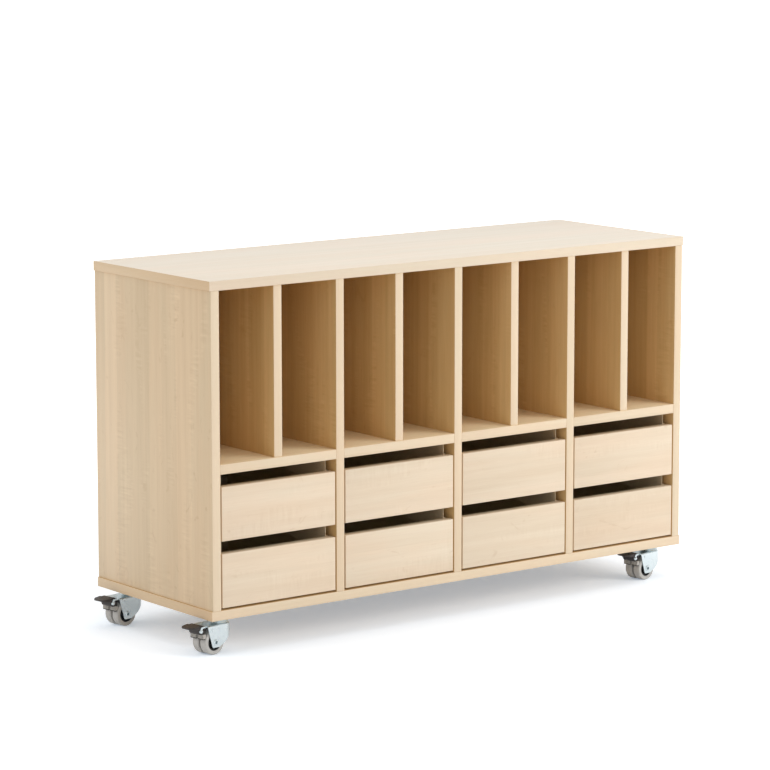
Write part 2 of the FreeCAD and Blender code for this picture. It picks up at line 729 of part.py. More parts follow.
def fork(number):
    """Fork with raceway, brake ears and cheeks that narrow to the axle."""
    name = f"fork_{number}"
    axle = "0 - caster_trail"
    foot = "wheel_radius - fork_foot_drop"
    nose = "0 - fork_front"
    side_view = [(f"{axle} - fork_foot_half + fork_bend", foot),
                 (f"{axle} + fork_foot_half", foot),
                 ("0 - fork_bend", "wheel_radius - fork_bend"),
                 ("fork_half_width / 2", "wheel_radius + fork_foot_half"),
                 ("fork_half_width + cut_overrun", "fork_top_height - fork_skirt"),
                 ("fork_half_width + cut_overrun", "fork_top_height + cut_overrun"),
                 (nose, "fork_top_height + cut_overrun"),
                 (nose, "fork_top_height - fork_bend"),
                 (f"{axle} - fork_foot_half", f"{foot} + fork_bend")]
    width = "2 * (fork_half_width + cut_overrun)"
    cheeks = common(name + "_cheeks", fork_shell(name + "_shell"),
                    padded(name + "_view", "XZ_Plane", side_view, width, middle=True))
    pivot = "0 - pivot_front"
    strap_low = "fork_top_height - ear_strap"
    ear_view = [(f"{nose} + ear_root", "fork_top_height"),
                (f"{pivot} - ear_neck + ear_bend", "fork_top_height"),
                (f"{pivot} - ear_neck", "fork_top_height - ear_bend"),
                (f"{pivot} - ear_neck", "pivot_height"), (f"{pivot} + ear_neck", "pivot_height"),
                (f"{pivot} + ear_neck", f"{strap_low} - ear_bend"),
                (f"{pivot} + ear_neck + ear_bend", strap_low), (f"{nose} + ear_root", strap_low)]
    strap = padded(name + "_strap", "XZ_Plane", ear_view, "2 * ear_outer", middle=True)
    eye = rod(name + "_eye", "ear_radius", "2 * ear_outer", pivot, "0 - ear_outer", "pivot_height", "y")
    hollow = box(name + "_hollow", "2 * fork_front", "2 * ear_inner", "web_low - cut_overrun",
                 "0 - 2 * fork_front - ear_root", "0 - ear_inner", "cut_overrun")
    mouth = box(name + "_mouth", "pedal_tip - fork_front - ear_root / 2", "2 * ear_inner",
                "fork_top_height", "0 - pedal_tip", "0 - ear_inner", "cut_overrun")
    ears = cut(name + "_ears", join(name + "_bracket", [strap, eye]), [hollow, mouth])
    race = cone(name + "_race", "fork_race_radius", "fork_race_radius - fork_race_draft",
                "fork_race_height", "0", "0", "fork_top_height")
    dimples = [rod(f"{name}_dimple_{word}", "dimple_radius", "dimple_height",
                   f"{axle} - dimple_back", f"{sign} * fork_half_width", "fork_top_height - dimple_drop", word)
               for sign, word in ((-1, "-y"), (1, "y"))]
    solid = join(name + "_solid", [cheeks, ears, race] + dimples)
    pin_hole = rod(name + "_pin_hole", "king_pin_radius + king_pin_clearance", "caster_height")
    axle_hole = rod(name + "_axle_hole", "axle_radius", width, axle,
                    "0 - fork_half_width - cut_overrun", "wheel_radius", "y")
    pivot_hole = rod(name + "_pivot_hole", "pivot_radius", width, pivot,
                     "0 - fork_half_width - cut_overrun", "pivot_height", "y")
    return cut(name, solid, [pin_hole, axle_hole, pivot_hole])


def axle_set(number):
    """Hollow axle rivet with flanged ends, and the brake's pivot pin with its heads."""
    name = f"axle_{number}"
    axle = "0 - caster_trail"
    shaft = rod(name + "_shaft", "axle_radius", "2 * fork_half_width", axle, "0 - fork_half_width",
                "wheel_radius", "y")
    ends = []
    bores = []
    heads = []
    for sign, word in ((-1, "-y"), (1, "y")):
        ends.append(cone(f"{name}_flange_{word}", "axle_flange_radius",
                         "axle_flange_radius - axle_flange_height / 2", "axle_flange_height",
                         axle, f"{sign} * fork_half_width", "wheel_radius", word))
        bores.append(rod(f"{name}_bore_{word}", "axle_bore_radius", "axle_bore_depth", axle,
                         f"{sign} * (fork_half_width + axle_flange_height - axle_bore_depth)",
                         "wheel_radius", word))
        heads.append(cone(f"{name}_head_{word}", "pivot_head_radius",
                          "pivot_head_radius - pivot_head_height / 2", "pivot_head_height",
                          "0 - pivot_front", f"{sign} * ear_outer", "pivot_height", word))
    rivet = cut(name + "_rivet", join(name + "_ends", [shaft] + ends), bores)
    pin = rod(name + "_pin", "pivot_radius", "2 * ear_outer", "0 - pivot_front", "0 - ear_outer",
              "pivot_height", "y")
    return [rivet, join(name + "_pivot_pin", [pin] + heads)]


def lever_body(name):
    """Black lever: wide pedal with rounded corners, and a block on the pivot between the ears."""
    pivot = "0 - pivot_front"
    side_view = [("0 - pedal_tip", "pedal_tip_height - pedal_tip_thickness / 2"),
                 (f"{pivot} - block_front", "pivot_height + pedal_root"),
                 (f"{pivot} - block_front", "block_height + block_chamfer"),
                 (f"{pivot} - block_front + block_chamfer", "block_height"),
                 (f"{pivot} + pad_reach", "block_height"), (f"{pivot} + lever_heel", "pivot_height"),
                 (f"{pivot} + lever_hub", "fork_top_height"),
                 (f"{pivot} + lever_hub - block_chamfer", "lever_top_height"),
                 (f"{pivot} - lever_hub", "lever_top_height"),
                 ("0 - pedal_tip", "pedal_tip_height + pedal_tip_thickness / 2")]
    solid = padded(name + "_view", "XZ_Plane", side_view, "2 * lever_half_width", middle=True)
    plan = rounded_box(name + "_plan", "pedal_tip", "2 * lever_half_width", "caster_height",
                       "pedal_corner", "0 - pedal_tip", "0 - lever_half_width", front_only=True)
    outline = common(name + "_outline", solid, plan)
    slabs = []
    for side, low in (("near", "lever_ear_gap - ear_inner - lever_half_width"),
                      ("far", "ear_inner - lever_ear_gap")):
        slabs.append(box(f"{name}_room_{side}", "pedal_tip", "lever_half_width", "caster_height",
                         f"{pivot} - ear_radius - lever_ear_gap", low))
    hole = rod(name + "_pivot", "pivot_radius + pivot_clearance", "2 * lever_half_width", pivot,
               "0 - lever_half_width", "pivot_height", "y")
    return cut(name, outline, slabs + [hole])


def brake_pad(name, sign):
    """Grey pad over one tread: its face follows the tread when the lever is down."""
    pivot = "0 - pivot_front"
    side_view = [(f"{pivot} + pad_reach", "block_height"), (f"{pivot} + pad_back", "block_height"),
                 (f"{pivot} + pad_back", "pad_low"), (f"{pivot} + pad_reach", "pad_low")]
    width = "lever_half_width - pad_side_gap"
    block = padded(name + "_block", "XZ_Plane", side_view, width, middle=True)
    move(block, "0", f"{sign} * (lever_half_width + pad_side_gap) / 2", "0")
    tread = rod(name + "_tread", "wheel_radius + brake_clearance", "4 * lever_half_width", "tread_x",
                "0 - 2 * lever_half_width", "tread_z", "y")
    grooves = []
    for number in range(SIZES["pad_grooves"]):
        place = f"({number} + 0.5) / pad_grooves * ({width}) - pad_groove / 2"
        side = "pad_side_gap" if sign > 0 else "0 - lever_half_width"
        grooves.append(box(f"{name}_groove_{number}", "2 * pad_groove_depth", "pad_groove",
                           "block_height - pad_low", f"{pivot} + pad_back - pad_groove_depth",
                           f"{side} + {place}", "pad_low"))
    return cut(name, block, [tread] + grooves)


def caster(number, x, y):
    """All pieces of one caster that turn with it, at its place and heading."""
    heading = SIZES["caster_angle"]
    pads = [brake_pad(f"pad_{number}_{word}", sign) for sign, word in ((-1, "near"), (1, "far"))]
    parts = ((f"caster_fork_{number}", group(f"fork_set_{number}", [fork(number)] + axle_set(number))),
             (f"caster_wheel_{number}_near", wheel(f"wheel_{number}_near", HALF)),
             (f"caster_wheel_{number}_far", wheel(f"wheel_{number}_far", 0)),
             (f"brake_lever_{number}", group(f"lever_set_{number}", [lever_body(f"lever_{number}")] + pads)))
    for name, piece in parts:
        turn(piece, Z_AXIS, heading)
        node(name, move(piece, x, y, "0"))


place_dowels()
rail_set()
plate_set()
node("mounting_screws", group("mounting_screws", screws))
drill_set = group("drill_set", holes)
carcass()
for row in range(DRAWER_ROWS):
    for bay in range(BAYS):
        drawer(row * BAYS + bay + 1, bay, row)
for index, (x, y) in enumerate(caster_places(), start=1):
    caster(index, x, y)
document.recompute()

for thing in document.Objects:
    if "Invalid" in thing.State or "Error" in thing.State:
        raise RuntimeError(f"{thing.Name} failed: {thing.State}")
os.makedirs("parts", exist_ok=True)
for piece in nodes:
    shape = piece.Shape
    if shape.isNull() or not shape.isValid() or not shape.Solids:
        raise RuntimeError(f"{piece.Label} has no valid solid")
for piece in nodes:
    piece.Shape.exportStep(f"parts/{piece.Label}.step")
    print(piece.Label, len(piece.Shape.Solids), round(piece.Shape.Volume))
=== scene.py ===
import json
import math

import bmesh
import bpy
from mathutils import Matrix, Vector


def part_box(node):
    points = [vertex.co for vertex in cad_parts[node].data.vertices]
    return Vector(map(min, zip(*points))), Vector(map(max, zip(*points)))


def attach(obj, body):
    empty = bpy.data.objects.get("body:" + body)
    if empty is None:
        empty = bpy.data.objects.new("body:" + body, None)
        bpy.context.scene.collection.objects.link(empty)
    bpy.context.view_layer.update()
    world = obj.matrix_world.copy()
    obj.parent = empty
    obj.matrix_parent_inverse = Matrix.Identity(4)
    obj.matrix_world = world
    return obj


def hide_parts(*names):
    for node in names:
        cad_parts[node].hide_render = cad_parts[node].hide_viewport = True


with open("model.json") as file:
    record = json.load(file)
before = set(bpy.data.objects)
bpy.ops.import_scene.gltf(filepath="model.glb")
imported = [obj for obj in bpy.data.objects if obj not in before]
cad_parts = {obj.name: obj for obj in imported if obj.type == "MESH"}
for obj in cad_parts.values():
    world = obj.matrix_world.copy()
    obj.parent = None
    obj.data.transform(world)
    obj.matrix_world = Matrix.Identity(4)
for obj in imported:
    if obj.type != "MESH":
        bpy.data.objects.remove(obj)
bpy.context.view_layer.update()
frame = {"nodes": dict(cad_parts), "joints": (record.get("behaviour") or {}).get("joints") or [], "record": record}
nodes = frame["nodes"]
bodies = frame["record"]["behaviour"]["bodies"]
body_of = {name: body for body, members in bodies.items() for name in members}
joints = {joint["name"]: joint for joint in frame["joints"]}

X, Y, Z = 0, 1, 2
MM = 0.001

# Camera, solved from straight edges in the photograph.
CAMERA_PLACE = Vector((-4.2391, -5.5340, 1.5690))
CAMERA_YAW = 0.6526
CAMERA_PITCH = 0.1594
CAMERA_ROLL = 0.0007
FOCAL_PIXELS = 3463.2
IMAGE_PIXELS = 770
SENSOR_WIDTH = 36.0

BOARD_ROUNDING = 0.7 * MM
FRONT_ROUNDING = 0.9 * MM
METAL_ROUNDING = 0.35 * MM
PLASTIC_ROUNDING = 0.7 * MM
MERGE_DISTANCE = 0.002 * MM
FLAT_ANGLE = math.radians(0.5)
SHARP_ANGLE = math.radians(32)
# The least part of a face's normal along an axis for the face to count as lying across it.
FACING = 0.9


def heading_matrix(number):
    """The turn and place of a caster, read from its joints. Local X runs away from the pedal."""
    swivel = joints[f"caster_{number}_swivel"]["pos_m"]
    axle = Vector(joints[f"wheel_{number}_near_spin"]["axis"])
    turn = Matrix((Vector((axle.y, -axle.x, 0)), axle, Vector((0, 0, 1)))).transposed().to_4x4()
    return Matrix.Translation((swivel[0], swivel[1], 0)) @ turn


# Materials

def new_material(name):
    material = bpy.data.materials.new(name)
    material.use_nodes = True
    tree = material.node_tree
    tree.nodes.clear()
    output = tree.nodes.new("ShaderNodeOutputMaterial")
    shader = tree.nodes.new("ShaderNodeBsdfPrincipled")
    tree.links.new(shader.outputs["BSDF"], output.inputs["Surface"])
    return material, tree, shader


def noise(tree, vector, scale, detail=3.0, roughness=0.5, distortion=0.0):
    node = tree.nodes.new("ShaderNodeTexNoise")
    node.inputs["Scale"].default_value = scale
    node.inputs["Detail"].default_value = detail
    node.inputs["Roughness"].default_value = roughness
    node.inputs["Distortion"].default_value = distortion
    tree.links.new(vector, node.inputs["Vector"])
    return node.outputs["Fac"]


def stretch(tree, vector, scale):
    node = tree.nodes.new("ShaderNodeMapping")
    node.inputs["Scale"].default_value = scale
    tree.links.new(vector, node.inputs["Vector"])
    return node.outputs["Vector"]


def math_node(tree, operation, first, second=None, third=None):
    node = tree.nodes.new("ShaderNodeMath")
    node.operation = operation
    for socket, item in zip(node.inputs, (first, second, third)):
        if item is None:
            continue
        if isinstance(item, (int, float)):
            socket.default_value = item
        else:
            tree.links.new(item, socket)
    return node.outputs["Value"]


def mix_colour(tree, factor, low, high):
    node = tree.nodes.new("ShaderNodeMix")
    node.data_type = "RGBA"
    inputs = [s for s in node.inputs if s.name in ("A", "B") and s.type == "RGBA"]
    for socket, item in zip(inputs, (low, high)):
        if isinstance(item, tuple):
            socket.default_value = item
        else:
            tree.links.new(item, socket)
    tree.links.new(factor, node.inputs["Factor"])
    return [s for s in node.outputs if s.type == "RGBA"][0]


def tinted(tree, colour, tint):
    node = tree.nodes.new("ShaderNodeVectorMath")
    node.operation = "MULTIPLY"
    tree.links.new(colour, node.inputs[0])
    tree.links.new(tint, node.inputs[1])
    return node.outputs["Vector"]


def spread(tree, value, low, high):
    """Maps a value between two limits to 0 and 1, smoothly."""
    node = tree.nodes.new("ShaderNodeMapRange")
    node.interpolation_type = "SMOOTHSTEP"
    node.inputs["From Min"].default_value = low
    node.inputs["From Max"].default_value = high
    tree.links.new(value, node.inputs["Value"])
    return node.outputs["Result"]


def bump(tree, shader, height, strength, distance):
    node = tree.nodes.new("ShaderNodeBump")
    node.inputs["Strength"].default_value = strength
    node.inputs["Distance"].default_value = distance
    tree.links.new(height, node.inputs["Height"])
    tree.links.new(node.outputs["Normal"], shader.inputs["Normal"])


def srgb(red, green, blue):
    """Colour written as 0 to 255 display values, as linear light."""
    def linear(value):
        share = value / 255
        return share / 12.92 if share <= 0.04045 else ((share + 0.055) / 1.055) ** 2.4
    return (linear(red), linear(green), linear(blue), 1.0)


def grain_vector(tree):
    node = tree.nodes.new("ShaderNodeAttribute")
    node.attribute_name = "grain"
    return node.outputs["Vector"]


def object_vector(tree):
    node = tree.nodes.new("ShaderNodeTexCoord")
    return node.outputs["Object"]


WARM_TINT = (1.015, 0.993, 0.976, 1.0)
COOL_TINT = (0.982, 1.003, 1.006, 1.0)

# Layers of the wood. Each has its repeats per metre along and across the fibres, and then the
# detail, roughness and distortion of its noise.
FIBRES = ((18, 620, 1), 3.0, 0.6, 0.0)
STREAKS = ((1.8, 70, 1), 4.0, 0.55, 0.35)
BANDS = ((0.9, 9, 1), 2.0, 0.5, 0.6)
RIPPLE = ((170, 22, 1), 2.0, 0.5, 0.5)
PATCHES = ((5, 20, 1), 2.0, 0.5, 0.8)
SMUDGES = ((16, 30, 1), 3.0, 0.55, 2.0)
CLOUDS = ((2.0, 11, 1), 3.0, 0.6, 0.5)
LEAVES_PER_METRE = 24.0
PATCH_LIMITS = (0.50, 0.66)
SMUDGE_LIMITS = (0.63, 0.76)
TINT_LIMITS = (0.30, 0.70)

# How far each layer moves the tone from the pale to the deep colour.
MEAN_TONE = 0.52
FIBRE_WEIGHT = 0.55
STREAK_WEIGHT = 0.95
BAND_WEIGHT = 0.9
LEAF_WEIGHT = 0.55
RIPPLE_WEIGHT = 1.3
SMUDGE_WEIGHT = 0.45
LEAF_TINT_WEIGHT = 0.35

SEAM_WAVE = 0.5
SEAM_SOFTNESS = 0.12

# Base and spread of the roughness over the fibres, and how far the fibres stand out.
WOOD_ROUGHNESS = (0.40, 0.10)
WOOD_SPECULAR = 0.45
FIBRE_BUMP = (0.10, 0.15 * MM)


def leaves(tree, grain, drift):
    """A tone for each leaf of veneer, about 40 mm wide, with a soft and slightly wavy seam."""
    split = tree.nodes.new("ShaderNodeSeparateXYZ")
    tree.links.new(grain, split.inputs["Vector"])
    node = tree.nodes.new("ShaderNodeTexVoronoi")
    node.voronoi_dimensions = "1D"
    node.feature = "SMOOTH_F1"
    node.inputs["Scale"].default_value = 1.0
    node.inputs["Smoothness"].default_value = SEAM_SOFTNESS
    wavy = math_node(tree, "MULTIPLY", drift, SEAM_WAVE)
    place = math_node(tree, "MULTIPLY_ADD", split.outputs["Y"], LEAVES_PER_METRE, wavy)
    tree.links.new(place, node.inputs["W"])
    tone = tree.nodes.new("ShaderNodeRGBToBW")
    tree.links.new(node.outputs["Color"], tone.inputs["Color"])
    return tone.outputs["Val"]


def centred(tree, value):
    """Moves a value between 0 and 1 to lie around 0."""
    return math_node(tree, "SUBTRACT", value, 0.5)


def laminate(name, pale, deep, figure=1.0, flecks=1.0, leaf=1.0):
    """Birch-look laminate. Grain X runs along the fibres, and Y across them, in metres. Figure is the
    strength of the curled ripple, flecks that of the small dark marks, leaf that of the leaves."""
    material, tree, shader = new_material(name)
    grain = grain_vector(tree)

    def layer(settings):
        scale, detail, roughness, distortion = settings
        return noise(tree, stretch(tree, grain, scale), 1.0, detail, roughness, distortion)

    fibres = layer(FIBRES)
    bands = layer(BANDS)
    patches = spread(tree, layer(PATCHES), *PATCH_LIMITS)
    smudges = spread(tree, layer(SMUDGES), *SMUDGE_LIMITS)
    tone = leaves(tree, grain, bands)
    shimmer = math_node(tree, "MULTIPLY", centred(tree, layer(RIPPLE)), patches)

    total = MEAN_TONE
    for value, weight in ((centred(tree, fibres), FIBRE_WEIGHT),
                          (centred(tree, layer(STREAKS)), STREAK_WEIGHT),
                          (centred(tree, bands), BAND_WEIGHT),
                          (centred(tree, tone), LEAF_WEIGHT * leaf),
                          (shimmer, RIPPLE_WEIGHT * figure),
                          (smudges, SMUDGE_WEIGHT * flecks)):
        total = math_node(tree, "MULTIPLY_ADD", value, weight, total)
    total = math_node(tree, "MINIMUM", math_node(tree, "MAXIMUM", total, 0.0), 1.0)

    mixed = math_node(tree, "MULTIPLY_ADD", centred(tree, tone), LEAF_TINT_WEIGHT * leaf, layer(CLOUDS))
    tint = mix_colour(tree, spread(tree, mixed, *TINT_LIMITS), WARM_TINT, COOL_TINT)
    colour = tinted(tree, mix_colour(tree, total, pale, deep), tint)
    tree.links.new(colour, shader.inputs["Base Color"])
    base, variation = WOOD_ROUGHNESS
    rough = math_node(tree, "MULTIPLY_ADD", fibres, variation, base)
    tree.links.new(rough, shader.inputs["Roughness"])
    shader.inputs["Specular IOR Level"].default_value = WOOD_SPECULAR
    bump(tree, shader, fibres, *FIBRE_BUMP)
    return material


ZINC_CLOUD_SCALE = 90
DRAWING_MARK_SCALE = (300, 300, 2600)
DULL_SHARE = 0.86
CLOUD_ROUGHNESS = 0.16
MARK_ROUGHNESS = 0.06
MARK_BUMP = (0.06, 0.05 * MM)


def zinc(name, colour, rough=0.26):
    """Bright plated steel with faint cloudy passivation and fine drawing marks."""
    material, tree, shader = new_material(name)
    place = object_vector(tree)
    clouds = noise(tree, place, ZINC_CLOUD_SCALE, 3.0, 0.55)
    marks = noise(tree, stretch(tree, place, DRAWING_MARK_SCALE), 1.0, 2.0, 0.5)
    darker = tuple(channel * DULL_SHARE for channel in colour[:3]) + (1.0,)
    tree.links.new(mix_colour(tree, clouds, darker, colour), shader.inputs["Base Color"])
    shader.inputs["Metallic"].default_value = 1.0
    cloudy = math_node(tree, "MULTIPLY_ADD", clouds, CLOUD_ROUGHNESS, rough - CLOUD_ROUGHNESS / 2)
    marked = math_node(tree, "MULTIPLY_ADD", marks, MARK_ROUGHNESS, cloudy)
    tree.links.new(marked, shader.inputs["Roughness"])
    bump(tree, shader, marks, *MARK_BUMP)
    return material


MOTTLE_SCALE = 160
MOTTLE_ROUGHNESS = 0.14
GRAIN_RELIEF = 0.08 * MM


def moulded(name, pale, deep, rough, grain_scale=1400, grain_depth=0.12):
    """Moulded plastic, rubber or coating: slight mottling and a fine surface grain."""
    material, tree, shader = new_material(name)
    place = object_vector(tree)
    mottling = noise(tree, place, MOTTLE_SCALE, 3.0, 0.55)
    fine = noise(tree, place, grain_scale, 2.0, 0.5)
    tree.links.new(mix_colour(tree, mottling, deep, pale), shader.inputs["Base Color"])
    rough = math_node(tree, "MULTIPLY_ADD", mottling, MOTTLE_ROUGHNESS, rough - MOTTLE_ROUGHNESS / 2)
    tree.links.new(rough, shader.inputs["Roughness"])
    bump(tree, shader, fine, grain_depth, GRAIN_RELIEF)
    return material


def wood(name, pale, deep, figure=1.0, flecks=1.0, leaf=1.0):
    """A laminate with its colours given as display values."""
    return laminate(name, srgb(*pale), srgb(*deep), figure, flecks, leaf)


MATERIALS = {
    "top": wood("laminate_top", (240, 228, 212), (231, 216, 195), figure=0.5, flecks=0.3, leaf=0.5),
    # Darker copy of the laminate for the outer sides, the underside and the back: painted shade for faces turned
    # away from the light
    "side": wood("laminate_side_painted_shade", (222, 199, 166), (202, 176, 142)),
    # Darker still for the end faces of the top and bottom panels: painted shade
    "end": wood("laminate_end_painted_shade", (216, 190, 155), (203, 174, 138), figure=0.2, flecks=0.4, leaf=0.0),
    "shelf": wood("laminate_shelf", (251, 230, 193), (237, 211, 170), figure=0.4, flecks=0.4, leaf=0.4),
    "front": wood("laminate_front", (238, 221, 198), (222, 200, 173), figure=0.6, leaf=0.4),
    # Darker, browner copy of the laminate: painted shade for the faces inside the carcass, in the compartments and
    # around the drawers
    "inner_painted_shade": wood("laminate_inner", (220, 186, 132), (195, 156, 101), figure=0.9, flecks=0.4),
    "edge": wood("laminate_edge", (235, 216, 189), (224, 201, 170), figure=0.2, flecks=0.2, leaf=0.0),
    "rim": wood("laminate_rim", (233, 217, 195), (222, 202, 176), figure=0.2, flecks=0.2, leaf=0.0),
    "tray": wood("laminate_tray", (236, 222, 200), (222, 204, 176), figure=0.3, flecks=0.3, leaf=0.4),
    "dowel": wood("beech_dowel", (222, 187, 140), (198, 158, 108), figure=0.0, flecks=0.0, leaf=0.0),
    "zinc": zinc("bright_zinc", srgb(216, 225, 227)),
    "zinc_screw": zinc("screw_zinc", srgb(214, 214, 206), 0.3),
    "coat": moulded("runner_coating", srgb(224, 206, 176), srgb(208, 189, 158), 0.42),
    "roller": moulded("roller_nylon", srgb(236, 234, 228), srgb(222, 219, 211), 0.5),
    "tread": moulded("grey_tread", srgb(197, 195, 191), srgb(178, 175, 170), 0.6, 900, 0.2),
    "hub": moulded("black_hub", srgb(30, 29, 29), srgb(20, 19, 19), 0.45),
    "lever": moulded("black_lever", srgb(52, 44, 41), srgb(34, 28, 26), 0.5),
    "pad": moulded("grey_pad", srgb(190, 186, 180), srgb(164, 160, 153), 0.62),
    # Dark band at the foot of the brake pads: painted shade where pad meets tyre
    "painted_shade_band": moulded("pad_painted_shade_band", srgb(74, 71, 68), srgb(56, 54, 52), 0.7),
}


# Mesh building

def finish_piece(name, mesh, body, replaced, materials):
    piece = bpy.data.objects.new(name, mesh)
    bpy.context.scene.collection.objects.link(piece)
    for material in materials:
        mesh.materials.append(MATERIALS[material])
    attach(piece, body)
    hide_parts(*replaced)
    return piece


def smooth(mesh):
    mesh.shade_smooth()
    mesh.set_sharp_from_angle(angle=SHARP_ANGLE)


SEED_STEP = (1.37, 0.61, 7.1)
FACE_STEP = 3.3


def write_grain(mesh, grain_axis, seed):
    """Stores, for each corner, the distance along and across the fibres of its face. The seed moves
    each board to another part of the pattern."""
    store = mesh.attributes.new("grain", "FLOAT_VECTOR", "CORNER")
    low = [min(v.co[i] for v in mesh.vertices) for i in (X, Y, Z)]
    high = [max(v.co[i] for v in mesh.vertices) for i in (X, Y, Z)]
    size = [high[i] - low[i] for i in (X, Y, Z)]
    for polygon in mesh.polygons:
        facing = max((X, Y, Z), key=lambda i: abs(polygon.normal[i]))
        rest = [i for i in (X, Y, Z) if i != facing]
        along = grain_axis if grain_axis in rest else max(rest, key=lambda i: size[i])
        across = [i for i in rest if i != along][0]
        for corner in polygon.loop_indices:
            place = mesh.vertices[mesh.loops[corner].vertex_index].co
            store.data[corner].vector = (place[along] + seed * SEED_STEP[0],
                                         place[across] + seed * SEED_STEP[1],
                                         seed * SEED_STEP[2] + facing * FACE_STEP)


def board_mesh(name, low, high, rounding, thickness_axis, grain_axis):
    """Box with rounded edges. Materials: the broad face at the low side, at the high side, the long
    edges, and the ends of the board."""
    mesh = bpy.data.meshes.new(name)
    shape = bmesh.new()
    bmesh.ops.create_cube(shape, size=1.0)
    centre = (low + high) / 2
    size = high - low
    for vertex in shape.verts:
        vertex.co = Vector(centre[i] + vertex.co[i] * size[i] for i in (X, Y, Z))
    bmesh.ops.bevel(shape, geom=list(shape.edges), offset=rounding, segments=2, profile=0.5,
                    affect="EDGES")
    shape.normal_update()
    for face in shape.faces:
        facing = face.normal[thickness_axis]
        at_end = abs(face.normal[grain_axis]) > FACING
        face.material_index = (0 if facing < -FACING else 1 if facing > FACING
                               else 3 if at_end else 2)
    shape.to_mesh(mesh)
    shape.free()
    return mesh


# Faces given no other material take the laminate with painted shade
def wooden_board(node, grain_axis, seed, low_face="inner_painted_shade", high_face="inner_painted_shade", rounding=BOARD_ROUNDING,
                 edge_face="edge", end_face="edge"):
    low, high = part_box(node)
    size = high - low
    thickness_axis = min((X, Y, Z), key=lambda i: size[i])
    mesh = board_mesh(f"{node}_board", low, high, rounding, thickness_axis, grain_axis)
    write_grain(mesh, grain_axis, seed)
    smooth(mesh)
    materials = [low_face, high_face, edge_face, end_face]
    return finish_piece(f"{node}_board", mesh, body_of[node], [node], materials)


def loose_solids(node):
    """The separate solids of a CAD node, as lists of faces in a welded copy of its mesh."""
    shape = bmesh.new()
    shape.from_mesh(nodes[node].data)
    bmesh.ops.remove_doubles(shape, verts=shape.verts, dist=MERGE_DISTANCE)
    shape.faces.ensure_lookup_table()
    seen = set()
    solids = []
    for start in shape.faces:
        if start.index in seen:
            continue
        seen.add(start.index)
        stack = [start]
        members = []
        while stack:
            face = stack.pop()
            members.append(face)
            for edge in face.edges:
                for other in edge.link_faces:
                    if other.index not in seen:
                        seen.add(other.index)
                        stack.append(other)
        solids.append(members)
    return shape, solids


def every_solid(low, high):
    return True


def copy_of_solids(name, node, wanted, material, rounding, grain_axis=None):
    """A rounded copy of some solids of a CAD node. Wanted takes a solid's low and high corner."""
    shape, solids = loose_solids(node)
    dropped = []
    for members in solids:
        places = [vertex.co for face in members for vertex in face.verts]
        low = Vector(min(p[i] for p in places) for i in (X, Y, Z))
        high = Vector(max(p[i] for p in places) for i in (X, Y, Z))
        if not wanted(low, high):
            dropped += members
    bmesh.ops.delete(shape, geom=dropped, context="FACES")
    bmesh.ops.dissolve_limit(shape, angle_limit=FLAT_ANGLE, verts=shape.verts, edges=shape.edges)
    mesh = bpy.data.meshes.new(name)
    shape.to_mesh(mesh)
    shape.free()
    if grain_axis is not None:
        write_grain(mesh, grain_axis, 1.0)
    smooth(mesh)
    piece = finish_piece(name, mesh, body_of[node], [node], [material])
    if rounding:
        rim = piece.modifiers.new("rounding", "BEVEL")
        rim.width = rounding
        rim.segments = 2
        rim.limit_method = "ANGLE"
        rim.angle_limit = SHARP_ANGLE
        rim.harden_normals = True
    return piece


def lathe(name, profile, steps, place):
    """Closed ring turned about the local Y axis from (radius, height) points in millimetres."""
    shape = bmesh.new()
    rings = []
    for radius, height in profile:
        ring = []
        for step in range(steps):
            angle = 2 * math.pi * step / steps
            ring.append(shape.verts.new((radius * MM * math.cos(angle), height * MM,
                                         radius * MM * math.sin(angle))))
        rings.append(ring)
    for index, ring in enumerate(rings):
        following = rings[(index + 1) % len(rings)]
        for step in range(steps):
            onward = (step + 1) % steps
            shape.faces.new((ring[step], ring[onward], following[onward], following[step]))
    bmesh.ops.recalc_face_normals(shape, faces=shape.faces)
    bmesh.ops.transform(shape, matrix=place, verts=shape.verts)
    mesh = bpy.data.meshes.new(name)
    shape.to_mesh(mesh)
    shape.free()
    return mesh


def arc(centre, radius, start, end, steps):
    """Points on an arc, in degrees, from start to end."""
    points = []
    for step in range(steps + 1):
        angle = math.radians(start + (end - start) * step / steps)
        points.append((centre[0] + radius * math.cos(angle), centre[1] + radius * math.sin(angle)))
    return points


# The carcass

DIVIDERS = ["main_divider_1", "main_divider_2", "main_divider_3",
            "slot_divider_1", "slot_divider_2", "slot_divider_3", "slot_divider_4"]
SHELVES = ["shelf_1", "shelf_2", "shelf_3", "shelf_4"]

wooden_board("left_side", Z, 1.0, low_face="side")
wooden_board("right_side", Z, 2.0, high_face="side")
for index, node in enumerate(DIVIDERS):
    wooden_board(node, Z, 3.0 + index)
for index, node in enumerate(SHELVES):
    wooden_board(node, X, 21.0 + index, high_face="shelf")
wooden_board("top_panel", X, 26.0, high_face="top", edge_face="rim", end_face="end")
wooden_board("bottom_panel", X, 27.0, low_face="side", end_face="end")
wooden_board("back_panel", Z, 31.0, high_face="side")
for number in range(1, 9):
    wooden_board(f"drawer_front_{number}", X, 40.0 + number, "front", "tray", FRONT_ROUNDING)
copy_of_solids("carcass_pegs", "carcass_dowels", every_solid, "dowel", METAL_ROUNDING,
               grain_axis=X)


# Drawers, rails, screws and caster plates

ROLLER_WIDTHS = (4 * MM, 5 * MM)
ROLLER_HEIGHTS = (15 * MM, 17 * MM)


def is_disc(low, high):
    """A roller, told from rails, sides and pins by its size."""
    size = high - low
    return (ROLLER_WIDTHS[0] < size.x < ROLLER_WIDTHS[1]
            and ROLLER_HEIGHTS[0] < size.z < ROLLER_HEIGHTS[1])


def is_steel(low, high):
    return not is_disc(low, high)


